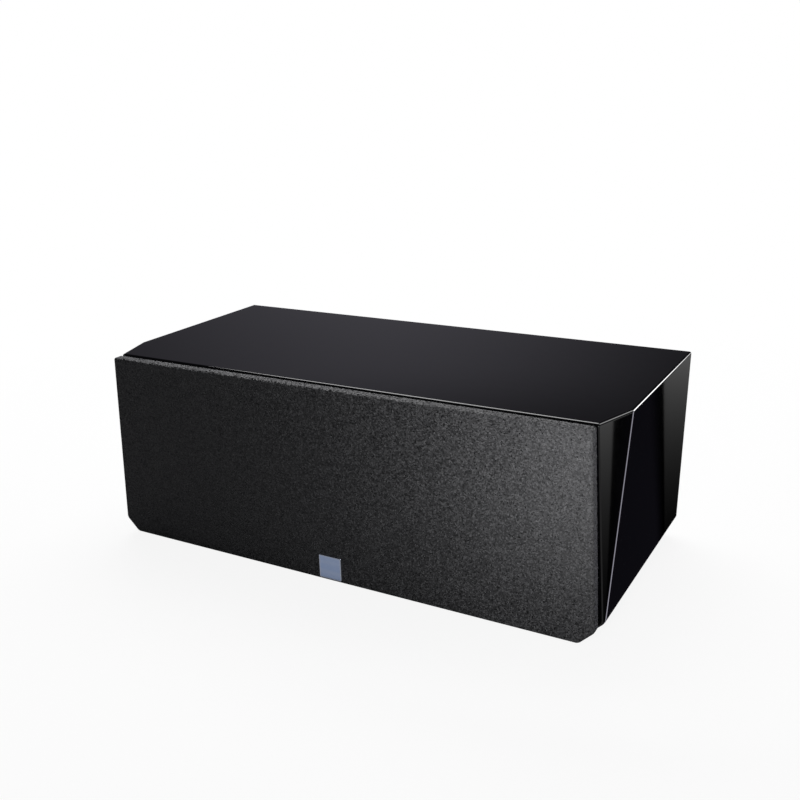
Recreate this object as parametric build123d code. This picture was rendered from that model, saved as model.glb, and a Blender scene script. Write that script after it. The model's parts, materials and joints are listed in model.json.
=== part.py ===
from build123d import *
import os
from dataclasses import dataclass

# Center channel speaker, in millimetres. The front is -Y and up is +Z.
# The origin lies under the middle of the whole object, where it stands.


@dataclass
class ConeDriver:
    """A cone loudspeaker. Its own frame has +Z out of the baffle and z = 0 on the flange's seat."""

    cone_radius: float
    roll_width: float
    lip_width: float
    flange_width: float
    flange_thickness: float
    frame_depth: float
    frame_rear_radius: float
    frame_windows: int
    window_width: float
    cone_depth: float
    dust_cap_radius: float
    dust_cap_height: float
    pole_radius: float
    magnet_radius: float
    magnet_height: float
    plate_radius: float
    plate_thickness: float
    winding_height: float

    @property
    def frame_radius(self):
        return self.cone_radius + self.roll_width

    @property
    def flange_radius(self):
        return self.frame_radius + self.flange_width

    @property
    def ledge_radius(self):
        return self.frame_radius + self.lip_width + lip_clearance

    @property
    def screw_circle(self):
        return (self.ledge_radius + self.flange_radius) / 2

    @property
    def rim_height(self):
        return self.flange_thickness - ledge_drop

    @property
    def neck_height(self):
        return self.rim_height - self.cone_depth

    @property
    def former_radius(self):
        return self.pole_radius + coil_gap + former_wall

    @property
    def motor_depth(self):
        return self.frame_depth + 2 * self.plate_thickness + self.magnet_height


# Drivers
woofer = ConeDriver(
    cone_radius=47.0,
    roll_width=10.0,
    lip_width=3.0,
    flange_width=11.0,
    flange_thickness=4.0,
    frame_depth=45.0,
    frame_rear_radius=40.0,
    frame_windows=6,
    window_width=32.0,
    cone_depth=26.0,
    dust_cap_radius=17.0,
    dust_cap_height=6.0,
    pole_radius=12.0,
    magnet_radius=46.0,
    magnet_height=18.0,
    plate_radius=42.0,
    plate_thickness=6.0,
    winding_height=12.0,
)
midrange = ConeDriver(
    cone_radius=26.0,
    roll_width=5.5,
    lip_width=2.5,
    flange_width=9.5,
    flange_thickness=4.0,
    frame_depth=28.0,
    frame_rear_radius=23.0,
    frame_windows=4,
    window_width=22.0,
    cone_depth=14.0,
    dust_cap_radius=11.0,
    dust_cap_height=4.0,
    pole_radius=7.0,
    magnet_radius=28.0,
    magnet_height=12.0,
    plate_radius=25.0,
    plate_thickness=5.0,
    winding_height=5.0,
)
frame_wall = 2.5
frame_floor = 3.0
flange_chamfer = 0.6
ledge_drop = 1.5
lip_clearance = 0.2
surround_thickness = 0.8
cone_thickness = 1.2
dust_cap_thickness = 0.6
spider_thickness = 0.6
spider_wave = 2.0
spider_waves = 4
spider_drop = 4.4
spider_inset = 4.0
spider_seat = 3.5
spider_ledge = 2.0
coil_gap = 0.4
former_wall = 0.4
former_tail = 1.0
winding_wall = 0.4
magnet_bore_gap = 8.0
floor_bore_gap = 6.0
pole_vent_ratio = 0.35
window_margin = 5.0

tweeter_face_radius = 29.0
tweeter_face_thickness = 4.0
tweeter_mouth_radius = 20.0
tweeter_dome_radius = 12.7
tweeter_dome_height = 4.5
tweeter_dome_thickness = 0.4
dome_clearance = 0.3
tweeter_roll_width = 2.4
tweeter_roll_height = 1.3
tweeter_lip_width = 2.5
tweeter_skin = 0.5
tweeter_motor_radius = 20.0
tweeter_plate_thickness = 4.0
tweeter_magnet_height = 10.0
tweeter_winding_height = 2.5

# Cabinet
wall = 15.0
baffle_thickness = 22.0
back_thickness = 15.0
cabinet_depth = 218.0
driver_gap = 2.0
woofer_margin = 5.0
end_margin = 9.0
center_spacing = 39.0
bottom_cut = 16.0
facet_width = 11.0
facet_depth = 36.0
facet_foot = 3.5
edge_radius = 2.5
foot_radius = 9.0
foot_height = 4.0
foot_inset = 34.0
foot_chamfer = 1.0
cutout_clearance = 0.5
recess_clearance = 0.3
brace_thickness = 15.0
brace_border = 24.0
brace_corner = 18.0
chamber_wall = 6.0
chamber_room = 6.0
chamber_space = 12.0
pad_thickness = 18.0
pad_border = 18.0
pad_corner = 6.0
pad_clearance = 0.3

# Grille
grille_gap = 4.0
grille_thickness = 8.6
grille_side_inset = 2.8
grille_end_inset = 0.5
grille_corner_radius = 6.0
grille_top_radius = 2.0
grille_edge_radius = 2.4
cloth_thickness = 0.6
window_inset = 2.0
center_window_margin = 2.0
center_window_corner = 20.0
badge_size = 22.0
badge_thickness = 1.0
badge_corner = 0.8
badge_lift = 2.2
peg_radius = 3.0
peg_depth = 9.0
peg_tip = 1.0
peg_collar_radius = 5.5
peg_edge = 10.0
peg_spacing = 14.0
peg_clearance = 0.3
socket_radius = 5.0
socket_depth = 12.0
socket_rim_radius = 6.5
socket_rim_height = 0.8
socket_clearance = 0.1

# Rear fittings
rear_flange = 3.0
port_radius = 17.0
port_wall = 2.5
port_length = 90.0
port_flare = 9.0
port_flange_lip = 2.0
port_neck_margin = 4.0
cup_width = 74.0
cup_height = 52.0
cup_depth = 24.0
cup_wall = 2.5
cup_flange = 9.0
cup_corner = 8.0
cup_clearance = 0.3
post_spacing = 19.05
stud_radius = 3.0
stud_tail = 10.0
stud_collar_radius = 6.5
stud_collar_height = 4.0
banana_radius = 2.05
banana_depth = 14.0
wire_hole_radius = 1.3
washer_radius = 5.5
washer_thickness = 1.2
cap_radius = 7.0
cap_length = 16.0
cap_flutes = 12
cap_flute_radius = 1.1
cap_band = 4.0
cap_chamfer = 0.8
post_clearance = 0.3

# Crossover
board_side_gap = 4.0
board_depth = 70.0
board_thickness = 1.6
board_standoff = 6.0
board_post_radius = 3.0
board_post_inset = 5.0
board_back_gap = 6.0
part_clearance = 0.2
inductor_radius = 15.0
inductor_bore = 7.0
inductor_height = 18.0
inductor_row = 14.0
capacitor_radius = 8.0
capacitor_length = 30.0
capacitor_row = 12.0
resistor_length = 40.0
resistor_width = 9.0

# Fasteners
screw_head_radius = 3.0
screw_head_height = 2.0
screw_radius = 1.7
screw_length = 14.0
screw_clearance = 0.1
screw_socket_radius = 1.4
screw_socket_depth = 1.3
screw_head_chamfer = 0.5
terminal_head_radius = 2.6
terminal_head_height = 1.6
terminal_screw_radius = 1.4
terminal_screw_length = 11.0
terminal_slot_width = 0.55
terminal_slot_depth = 0.8
driver_screw_count = 4

# Places worked out from the sizes above
stack_height = 2 * (midrange.flange_radius + tweeter_face_radius) + 3 * driver_gap
opening_height = max(2 * (woofer.flange_radius + woofer_margin), stack_height)
woofer_x = midrange.flange_radius + center_spacing + woofer.flange_radius
opening_half_width = woofer_x + woofer.flange_radius + end_margin
half_width = opening_half_width + wall
bottom_z = foot_height
inner_bottom_z = bottom_z + wall
inner_top_z = inner_bottom_z + opening_height
top_z = inner_top_z + wall
middle_z = (inner_bottom_z + inner_top_z) / 2
midrange_z = inner_bottom_z + (opening_height - stack_height) / 2 + driver_gap + midrange.flange_radius
tweeter_z = midrange_z + midrange.flange_radius + driver_gap + tweeter_face_radius
tweeter_screw_circle = (tweeter_mouth_radius + tweeter_face_radius) / 2 + screw_clearance
cone_places = ((woofer, -woofer_x, middle_z), (woofer, woofer_x, middle_z), (midrange, 0, midrange_z))

front_reach = grille_gap + grille_thickness + badge_thickness
front_y = front_reach - (front_reach + cabinet_depth + rear_flange) / 2
back_y = front_y + cabinet_depth
baffle_back_y = front_y + baffle_thickness
panel_front_y = back_y - back_thickness
grille_back_y = front_y - grille_gap
grille_front_y = grille_back_y - grille_thickness
facet_foot_z = bottom_z + facet_foot

post_floor_y = back_y + rear_flange - cup_depth
board_z = inner_bottom_z + board_standoff
board_y = panel_front_y - board_back_gap - board_depth / 2
port_neck_radius = port_radius + port_wall + port_neck_margin
port_flange_radius = port_radius + port_flare + port_flange_lip
brace_x = (opening_half_width - end_margin - 2 * woofer.flange_radius + midrange.flange_radius) / 2
board_width = 2 * (brace_x - brace_thickness / 2 - board_side_gap)
peg_columns = (
    -opening_half_width + peg_edge,
    -woofer_x + woofer.flange_radius + peg_spacing,
    woofer_x - woofer.flange_radius - peg_spacing,
    opening_half_width - peg_edge,
)
peg_rows = (inner_bottom_z + peg_edge, inner_top_z - peg_edge)
peg_places = [(x, z) for x in peg_columns for z in peg_rows]


def turned(*points):
    """Solid of revolution about Z from a closed outline of (radius, height) points."""
    outline = Polyline(*[(radius, 0, height) for radius, height in points], close=True)
    return revolve(make_face(outline), Axis.Z)


def ring(outer, inner, low, high):
    return turned((inner, low), (outer, low), (outer, high), (inner, high))


def rod(radius, low, high):
    return Pos(0, 0, low) * Cylinder(radius, high - low, align=(Align.CENTER, Align.CENTER, Align.MIN))


def facing_front(shape, x, y, z):
    """Turns a shape's +Z to the object's front and sets its origin at a place."""
    return Pos(x, y, z) * Rot(90, 0, 0) * shape


def facing_back(shape, x, y, z):
    return Pos(x, y, z) * Rot(-90, 0, 0) * shape


def slab(face, rear_y, thickness):
    """An outline drawn in X and Z, made solid from rear_y towards the front."""
    return Pos(0, rear_y, 0) * extrude(Plane.XZ * face, amount=thickness)


def block(x_range, y_range, z_range):
    low = Vector(x_range[0], y_range[0], z_range[0])
    high = Vector(x_range[1], y_range[1], z_range[1])
    size = high - low
    return Pos(*((low + high) * 0.5)) * Box(size.X, size.Y, size.Z)


def group(shapes):
    return Compound(list(shapes))


# Cabinet


def front_edge_x(z):
    """Half width of the cabinet's front at a height: the corner cuts leave it narrower towards the top."""
    return half_width - facet_width * (z - facet_foot_z) / (top_z - facet_foot_z)


def cabinet_body():
    """The outside of the cabinet: bottom edges cut at 45 degrees, front corners cut by leaning planes."""
    corner = half_width - bottom_cut
    shoulder_z = bottom_z + bottom_cut
    outline = Polyline(
        (-half_width, top_z),
        (half_width, top_z),
        (half_width, shoulder_z),
        (corner, bottom_z),
        (-corner, bottom_z),
        (-half_width, shoulder_z),
        close=True,
    )
    body = slab(make_face(outline), back_y, cabinet_depth)
    for side in (-1, 1):
        front_top = Vector(side * (half_width - facet_width), front_y, top_z)
        side_top = Vector(side * half_width, front_y + facet_depth, top_z)
        foot = Vector(side * half_width, front_y, facet_foot_z)
        normal = (side_top - front_top).cross(foot - front_top)
        outward = normal if normal.Y < 0 else normal * -1
        body = split(body, Plane(origin=front_top, z_dir=outward), keep=Keep.BOTTOM)
    return body


def opening(y_range):
    return block((-opening_half_width, opening_half_width), y_range, (inner_bottom_z, inner_top_z))


def rounded_edges(body):
    """The top edges, apart from the rear one, and the two long edges of each cut front corner."""
    top = body.faces().sort_by(Axis.Z)[-1]
    edges = [edge for edge in top.edges() if edge.center().Y < panel_front_y]
    for face in body.faces():
        is_facet = face.normal_at().X * face.normal_at().Y != 0
        if is_facet:
            edges += [edge for edge in face.edges() if edge.length > opening_height / 2]
    return edges


def cabinet_shell():
    body = cabinet_body()
    body = fillet(rounded_edges(body), edge_radius)
    return body - opening((front_y, back_y))


def front_baffle():
    baffle = opening((front_y, baffle_back_y))
    for driver, x, z in cone_places:
        cutout = rod(driver.frame_radius + cutout_clearance, -baffle_thickness, driver.flange_thickness)
        recess = rod(driver.flange_radius + recess_clearance, 0, driver.flange_thickness)
        baffle -= facing_front(cutout + recess, x, front_y + driver.flange_thickness, z)
    motor_hole = rod(tweeter_motor_radius + cutout_clearance, -baffle_thickness, tweeter_face_thickness)
    face_recess = rod(tweeter_face_radius + recess_clearance, 0, tweeter_face_thickness)
    baffle -= facing_front(motor_hole + face_recess, 0, front_y + tweeter_face_thickness, tweeter_z)
    socket_hole = rod(socket_radius + socket_clearance, -socket_depth, 0)
    for x, z in peg_places:
        baffle -= facing_front(socket_hole, x, front_y, z)
    screw_hole = rod(screw_radius + screw_clearance, -screw_length, 0)
    for x, y, z in driver_screw_places():
        baffle -= facing_front(screw_hole, x, y, z)
    return baffle


def back_panel():
    panel = opening((panel_front_y, back_y))
    port_hole = rod(port_neck_radius + cup_clearance, -back_thickness, 0)
    for x in (-woofer_x, woofer_x):
        panel -= facing_back(port_hole, x, back_y, middle_z)
    cup_hole = extrude(cup_outline(cup_wall + cup_clearance), amount=-back_thickness)
    panel -= facing_back(cup_hole, 0, back_y, middle_z)
    screw_hole = rod(terminal_screw_radius + screw_clearance, -terminal_screw_length, rear_flange)
    for x, z in terminal_screw_places():
        panel -= facing_back(screw_hole, x, back_y, z)
    return panel


def cabinet_brace(side):
    """An upright panel between two chambers, with a large window for the air."""
    depth = panel_front_y - baffle_back_y
    panel = Rectangle(depth, opening_height)
    panel -= RectangleRounded(depth - 2 * brace_border, opening_height - 2 * brace_border, brace_corner)
    brace = extrude(Plane.YZ * panel, amount=brace_thickness / 2, both=True)
    return Pos(side * brace_x, (baffle_back_y + panel_front_y) / 2, middle_z) * brace


def midrange_chamber():
    """The closed box behind the midrange, glued to the back of the baffle."""
    half = midrange.frame_radius + chamber_room
    low_z = max(inner_bottom_z, midrange_z - half - chamber_wall)
    high_z = midrange_z + half + chamber_wall
    motor_rear_y = front_y + midrange.flange_thickness + midrange.motor_depth
    rear_y = motor_rear_y + chamber_space
    outer_half = half + chamber_wall
    outside = block((-outer_half, outer_half), (baffle_back_y, rear_y + chamber_wall), (low_z, high_z))
    inside = block((-half, half), (baffle_back_y, rear_y), (low_z + chamber_wall, high_z - chamber_wall))
    return outside - inside


def damping_pad(side):
    outer_x = opening_half_width - pad_clearance
    inner_x = outer_x - pad_thickness
    y_range = (baffle_back_y + pad_border, panel_front_y - pad_border)
    z_range = (inner_bottom_z + pad_border, inner_top_z - pad_border)
    pad = block(sorted((side * inner_x, side * outer_x)), y_range, z_range)
    return fillet(pad.edges().filter_by(Axis.X), pad_corner)


def rubber_feet():
    foot = turned(
        (0, 0),
        (foot_radius - foot_chamfer, 0),
        (foot_radius, foot_chamfer),
        (foot_radius, foot_height),
        (0, foot_height),
    )
    x = half_width - foot_inset
    y_places = (front_y + foot_inset, back_y - foot_inset)
    return group(Pos(side * x, y, 0) * foot for side in (-1, 1) for y in y_places)


# Grille


def grille_outline():
    """Follows the cabinet's front a little inside it, with the same cut bottom corners."""
    high_z = top_z - grille_end_inset
    low_z = bottom_z + grille_end_inset
    slope = facet_width / (top_z - facet_foot_z)
    cut_reach = half_width - bottom_cut - grille_end_inset * 2 ** 0.5
    side_reach = front_edge_x(bottom_z) - grille_side_inset
    rise = (side_reach - cut_reach) / (1 + slope)
    shoulder = (cut_reach + rise, bottom_z + rise)
    foot = (cut_reach + grille_end_inset, low_z)
    top = (front_edge_x(high_z) - grille_side_inset, high_z)
    half = [top, shoulder, foot]
    mirrored = [(-x, z) for x, z in reversed(half)]
    face = make_face(Polyline(*half, *mirrored, close=True))
    corners = face.vertices().sort_by(Axis.Y)
    face = fillet(corners[:4], grille_corner_radius)
    return fillet(face.vertices().sort_by(Axis.Y)[-2:], grille_top_radius)


def rounded_slab(face, rear_y, thickness, radius):
    body = slab(face, rear_y, thickness)
    return fillet(body.faces().sort_by(Axis.Y)[0].edges(), radius)


def grille_blank():
    face = offset(grille_outline(), -cloth_thickness)
    radius = grille_edge_radius - cloth_thickness
    return rounded_slab(face, grille_back_y, grille_thickness - cloth_thickness, radius)


def grille_peg():
    collar_length = grille_gap - socket_rim_height
    reach = collar_length + peg_depth
    return turned(
        (0, 0),
        (peg_collar_radius, 0),
        (peg_collar_radius, -collar_length),
        (peg_radius, -collar_length),
        (peg_radius, peg_tip - reach),
        (peg_radius - peg_tip, -reach),
        (0, -reach),
    )


def grille_frame():
    frame = grille_blank()
    woofer_window = rod(woofer.flange_radius - window_inset, 0, grille_thickness)
    for x in (-woofer_x, woofer_x):
        frame -= facing_front(woofer_window, x, grille_back_y, middle_z)
    window_width = 2 * (midrange.flange_radius + center_window_margin)
    window = RectangleRounded(window_width, opening_height - 2 * center_window_margin, center_window_corner)
    frame -= slab(Pos(0, middle_z) * window, grille_back_y, grille_thickness)
    for x, z in peg_places:
        frame += facing_front(grille_peg(), x, grille_back_y, z)
    return frame


def grille_cloth():
    outside = rounded_slab(grille_outline(), grille_back_y, grille_thickness, grille_edge_radius)
    return outside - grille_blank()


def grille_badge():
    plate = extrude(RectangleRounded(badge_size, badge_size, badge_corner), amount=badge_thickness)
    center_z = bottom_z + grille_end_inset + badge_lift + badge_size / 2
    return facing_front(plate, 0, grille_front_y, center_z)


def grille_socket():
    bore = peg_radius + peg_clearance
    floor = peg_depth + peg_clearance - socket_rim_height
    return turned(
        (0, -socket_depth),
        (socket_radius, -socket_depth),
        (socket_radius, 0),
        (socket_rim_radius, 0),
        (socket_rim_radius, socket_rim_height),
        (bore, socket_rim_height),
        (bore, -floor),
        (0, -floor),
    )


def grille_sockets():
    return group(facing_front(grille_socket(), x, front_y, z) for x, z in peg_places)


# Drivers


def motor(front, pole, bore, radius, magnet_radius, plate, magnet_height, magnet_bore):
    """Top plate, magnet and yoke of a driver whose top plate's front lies at a height."""
    plate_back = front - plate
    magnet_back = plate_back - magnet_height
    yoke = turned(
        (pole * pole_vent_ratio, magnet_back - plate),
        (radius, magnet_back - plate),
        (radius, magnet_back),
        (pole, magnet_back),
        (pole, front),
        (pole * pole_vent_ratio, front),
    )
    return {
        "top_plate": ring(radius, bore, plate_back, front),
        "magnet": ring(magnet_radius, magnet_bore, magnet_back, plate_back),
        "yoke": yoke,
    }


def half_roll(inner, outer, lip, base, height, thickness):
    """A surround: two flat lips joined by a half roll that bulges forward."""
    middle = (inner + outer) / 2
    top = base + thickness
    crest = base + height
    arch_inner = inner + thickness
    arch_outer = outer - thickness
    under = [
        Line((inner - lip, 0, base), (arch_inner, 0, base)),
        ThreePointArc((arch_inner, 0, base), (middle, 0, crest - thickness), (arch_outer, 0, base)),
        Line((arch_outer, 0, base), (outer + lip, 0, base)),
    ]
    over = [
        Line((outer + lip, 0, base), (outer + lip, 0, top)),
        Line((outer + lip, 0, top), (outer, 0, top)),
        ThreePointArc((outer, 0, top), (middle, 0, crest), (inner, 0, top)),
        Line((inner, 0, top), (inner - lip, 0, top)),
        Line((inner - lip, 0, top), (inner - lip, 0, base)),
    ]
    return revolve(make_face(under + over), Axis.Z)


def cap_arc(radius, base, height):
    """Half the section of a spherical cap, from its edge to its top on the axis."""
    sphere = (radius ** 2 + height ** 2) / (2 * height)
    half = radius / 2
    half_height = base + height - sphere + (sphere ** 2 - half ** 2) ** 0.5
    return ThreePointArc((radius, 0, base), (half, 0, half_height), (0, 0, base + height))


def domed_cap(radius, height, thickness, base, foot):
    """A shallow dome shell; foot is how far its inner edge lies below its outer edge."""
    inner_radius = radius - thickness
    inner_base = base - foot
    top = base + height
    edges = [
        cap_arc(radius, base, height),
        Line((0, 0, top), (0, 0, top - thickness)),
        cap_arc(inner_radius, inner_base, height - thickness + foot),
        Line((inner_radius, 0, inner_base), (radius, 0, base)),
    ]
    return revolve(make_face(edges), Axis.Z)


def cone_basket(driver):
    """Cast basket: flange with a ledge for the surround, windowed cone and a floor on the top plate."""
    outer = driver.frame_radius
    inner = outer - frame_wall
    rear = driver.frame_rear_radius
    floor = -driver.frame_depth
    floor_bore = driver.former_radius + floor_bore_gap
    rim = driver.flange_radius
    top = driver.flange_thickness
    basket = turned(
        (inner, driver.rim_height),
        (driver.ledge_radius, driver.rim_height),
        (driver.ledge_radius, top),
        (rim - flange_chamfer, top),
        (rim, top - flange_chamfer),
        (rim, 0),
        (outer, 0),
        (rear, floor + frame_floor),
        (rear, floor),
        (floor_bore, floor),
        (floor_bore, floor + frame_floor),
        (rear - frame_wall, floor + frame_floor),
        (inner, 0),
    )
    window_height = driver.frame_depth - frame_floor - 2 * window_margin
    window = Box(driver.frame_radius, driver.window_width, window_height)
    window_z = -window_margin - window_height / 2
    for step in range(driver.frame_windows):
        angle = (step + 0.5) * 360 / driver.frame_windows
        basket -= Rot(0, 0, angle) * Pos(driver.frame_radius, 0, window_z) * window
    height, seat_outer, seat_inner = spider_seating(driver)
    ledge = ring(seat_outer, seat_inner, height - spider_ledge, height)
    basket += ledge
    hole = rod(screw_radius + screw_clearance, 0, top)
    for place in screw_spots(driver.screw_circle):
        basket -= place * hole
    return basket


def spider_seating(driver):
    """Height of the spider's landing, and the landing's outer and inner radius."""
    height = driver.neck_height - spider_drop
    slope = (driver.frame_radius - driver.frame_rear_radius) / (driver.frame_depth - frame_floor)
    wall_middle = driver.frame_radius - frame_wall / 2 + slope * height
    seat_inner = wall_middle - spider_inset - spider_seat
    return height, wall_middle, seat_inner


def spider(driver):
    """Corrugated disc from the coil former to the basket's landing."""
    base, seat_outer, seat_inner = spider_seating(driver)
    inner = driver.former_radius
    outer = seat_inner + spider_seat
    folds = 2 * spider_waves
    step = (seat_inner - inner) / folds
    top = base + spider_thickness
    under = [(inner + step * fold, base + spider_wave * (fold % 2)) for fold in range(folds)]
    over = [(radius, height + spider_thickness) for radius, height in under]
    lip = [(seat_inner, base), (outer, base), (outer, top), (seat_inner, top)]
    return turned(*under, *lip, *reversed(over))


def cone(driver):
    neck = driver.former_radius
    land = driver.cone_radius - driver.lip_width
    rim = driver.rim_height
    return turned(
        (neck, driver.neck_height),
        (land, rim),
        (driver.cone_radius, rim),
        (driver.cone_radius, rim - cone_thickness),
        (land, rim - cone_thickness),
        (neck, driver.neck_height - cone_thickness),
    )


def dust_cap(driver):
    neck = driver.former_radius
    land = driver.cone_radius - driver.lip_width
    slope = driver.cone_depth / (land - neck)
    base = driver.neck_height + slope * (driver.dust_cap_radius - neck)
    foot = slope * dust_cap_thickness
    return domed_cap(driver.dust_cap_radius, driver.dust_cap_height, dust_cap_thickness, base, foot)


def voice_coil(bore, top, winding_middle, winding_height):
    """Coil former with its winding, as one bonded piece."""
    former = bore + former_wall
    winding = former + winding_wall
    winding_top = winding_middle + winding_height / 2
    winding_low = winding_middle - winding_height / 2
    return turned(
        (bore, top),
        (former, top),
        (former, winding_top),
        (winding, winding_top),
        (winding, winding_low),
        (former, winding_low),
        (former, winding_low - former_tail),
        (bore, winding_low - former_tail),
    )


def cone_driver(driver):
    """Every piece of a cone driver, in the driver's own frame."""
    bore = driver.pole_radius + coil_gap
    plate_bore = driver.former_radius + winding_wall + coil_gap
    front = -driver.frame_depth
    pieces = motor(
        front,
        driver.pole_radius,
        plate_bore,
        driver.plate_radius,
        driver.magnet_radius,
        driver.plate_thickness,
        driver.magnet_height,
        plate_bore + magnet_bore_gap,
    )
    pieces["basket"] = cone_basket(driver)
    pieces["spider"] = spider(driver)
    pieces["cone"] = cone(driver)
    pieces["dust_cap"] = dust_cap(driver)
    pieces["voice_coil"] = voice_coil(
        bore, driver.neck_height, front - driver.plate_thickness / 2, driver.winding_height
    )
    pieces["surround"] = half_roll(
        driver.cone_radius,
        driver.frame_radius,
        driver.lip_width,
        driver.rim_height,
        driver.roll_width / 2,
        surround_thickness,
    )
    return pieces


def tweeter():
    """Dome tweeter with a flared face plate; its surround is clamped between face plate and top plate."""
    top = tweeter_face_thickness
    dome = tweeter_dome_radius
    clamp = dome + tweeter_roll_width
    bore = dome - tweeter_dome_thickness
    pole = bore - coil_gap
    plate_bore = bore + former_wall + winding_wall + coil_gap
    front = -tweeter_skin
    pieces = motor(
        front,
        pole,
        plate_bore,
        tweeter_motor_radius,
        tweeter_motor_radius,
        tweeter_plate_thickness,
        tweeter_magnet_height,
        plate_bore + tweeter_lip_width,
    )
    pieces["faceplate"] = turned(
        (clamp, 0),
        (tweeter_face_radius, 0),
        (tweeter_face_radius, top - flange_chamfer),
        (tweeter_face_radius - flange_chamfer, top),
        (tweeter_mouth_radius, top),
    )
    hole = rod(screw_radius + screw_clearance, 0, top)
    for place in screw_spots(tweeter_screw_circle):
        pieces["faceplate"] -= place * hole
    pieces["dome"] = domed_cap(dome, tweeter_dome_height, tweeter_dome_thickness, 0, 0)
    pieces["voice_coil"] = voice_coil(bore, 0, front - tweeter_plate_thickness / 2, tweeter_winding_height)
    base = -tweeter_skin
    roll_inner = dome + dome_clearance
    roll = half_roll(roll_inner, clamp, tweeter_lip_width, base, tweeter_roll_height, tweeter_skin)
    pieces["surround"] = roll - rod(roll_inner, base, tweeter_dome_height)
    return pieces


def screw_spots(circle):
    """Places of a driver's screws around its axis."""
    turn = 360 / driver_screw_count
    return [Rot(0, 0, turn * (step + 0.5)) * Pos(circle, 0, 0) for step in range(driver_screw_count)]


def driver_screw_places():
    """Where each driver screw's head meets its flange."""
    circles = [(driver.screw_circle, x, z) for driver, x, z in cone_places]
    circles.append((tweeter_screw_circle, 0, tweeter_z))
    places = []
    for circle, x, z in circles:
        for spot in screw_spots(circle):
            offset_x, offset_z, _ = spot.position
            places.append((x + offset_x, front_y, z + offset_z))
    return places


def driver_screws():
    """Socket-head screws: the heads stand on the flanges."""
    head = rod(screw_head_radius, 0, screw_head_height)
    head = chamfer(head.edges().sort_by(Axis.Z)[-1], screw_head_chamfer)
    socket = extrude(RegularPolygon(screw_socket_radius, 6), amount=screw_socket_depth)
    screw = head + rod(screw_radius, -screw_length, 0)
    screw -= Pos(0, 0, screw_head_height - screw_socket_depth) * socket
    return group(facing_front(screw, x, y, z) for x, y, z in driver_screw_places())


# Rear fittings


def port():
    """Moulded bass port: straight tube with a flared mouth, its flange on the back panel."""
    flare_center = port_radius + port_flare
    flare_low = rear_flange - port_flare
    knee = port_flare * 0.5 ** 0.5
    tube = port_radius + port_wall
    end = rear_flange - port_length
    corners = [
        (port_radius, flare_low),
        (port_radius, end),
        (tube, end),
        (tube, -back_thickness),
        (port_neck_radius, -back_thickness),
        (port_neck_radius, 0),
        (port_flange_radius, 0),
        (port_flange_radius, rear_flange),
        (flare_center, rear_flange),
    ]
    line = Polyline(*[(radius, 0, height) for radius, height in corners])
    flare = ThreePointArc(
        (flare_center, 0, rear_flange),
        (flare_center - knee, 0, flare_low + knee),
        (port_radius, 0, flare_low),
    )
    return revolve(make_face(line.edges() + [flare]), Axis.Z)


def cup_outline(grow):
    return RectangleRounded(cup_width + 2 * grow, cup_height + 2 * grow, cup_corner)


def terminal_screw_places():
    x = cup_width / 2 + cup_flange / 2
    z = cup_height / 2 + cup_flange / 2
    return [(side_x * x, middle_z + side_z * z) for side_x in (-1, 1) for side_z in (-1, 1)]


def terminal_cup():
    """Recessed tray for the binding posts, with a flange on the back panel."""
    floor = rear_flange - cup_depth
    cup = extrude(cup_outline(cup_flange), amount=rear_flange)
    tray = extrude(cup_outline(cup_wall), amount=cup_depth + cup_wall - rear_flange)
    cup += Pos(0, 0, floor - cup_wall) * tray
    cup -= Pos(0, 0, floor) * extrude(cup_outline(0), amount=cup_depth)
    for side in (-1, 1):
        stud_hole = rod(stud_radius + post_clearance, floor - cup_wall, floor)
        cup -= Pos(side * post_spacing / 2, 0, 0) * stud_hole
    cup = facing_back(cup, 0, back_y, middle_z)
    seat = rod(terminal_head_radius + screw_clearance, rear_flange - terminal_head_height, rear_flange)
    hole = rod(terminal_screw_radius + screw_clearance, 0, rear_flange)
    for x, z in terminal_screw_places():
        cup -= facing_back(seat + hole, x, back_y, z)
    return cup


def terminal_screws():
    head = rod(terminal_head_radius, rear_flange - terminal_head_height, rear_flange)
    low = rear_flange - terminal_head_height - terminal_screw_length
    screw = head + rod(terminal_screw_radius, low, rear_flange - terminal_head_height)
    slot = Pos(0, 0, rear_flange) * Box(terminal_head_radius, terminal_slot_width, 2 * terminal_slot_depth)
    screw -= slot + Rot(0, 0, 90) * slot
    return group(facing_back(screw, x, back_y, z) for x, z in terminal_screw_places())


def binding_post():
    """Stud, clamp washer and cap of one binding post; z = 0 on the tray's floor."""
    washer_low = stud_collar_height
    cap_low = washer_low + washer_thickness
    cap_high = cap_low + cap_length
    bore = stud_radius + post_clearance
    stud = turned(
        (0, -stud_tail),
        (stud_radius, -stud_tail),
        (stud_radius, 0),
        (stud_collar_radius, 0),
        (stud_collar_radius, stud_collar_height),
        (stud_radius, stud_collar_height),
        (stud_radius, cap_high),
        (0, cap_high),
    )
    stud -= rod(banana_radius, cap_high - banana_depth, cap_high)
    wire_hole = Rot(0, 90, 0) * Cylinder(wire_hole_radius, 4 * stud_radius)
    stud -= Pos(0, 0, washer_low + wire_hole_radius) * wire_hole
    cap = turned(
        (bore, cap_low),
        (cap_radius, cap_low),
        (cap_radius, cap_high - cap_chamfer),
        (cap_radius - cap_chamfer, cap_high),
        (bore, cap_high),
    )
    flute = rod(cap_flute_radius, cap_low + cap_band, cap_high)
    for step in range(cap_flutes):
        cap -= Rot(0, 0, 360 * step / cap_flutes) * Pos(cap_radius, 0, 0) * flute
    return {"stud": stud, "washer": ring(washer_radius, bore, washer_low, cap_low), "cap": cap}


# Crossover


def crossover_board():
    """Circuit board on four moulded spacers that stand on the cabinet's floor."""
    board = Pos(0, board_y, board_z + board_thickness / 2) * Box(board_width, board_depth, board_thickness)
    spacer = rod(board_post_radius, inner_bottom_z, board_z)
    x = board_width / 2 - board_post_inset
    y = board_depth / 2 - board_post_inset
    for place_x in (-x, x):
        for place_y in (board_y - y, board_y + y):
            board += Pos(place_x, place_y, 0) * spacer
    return board


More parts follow.
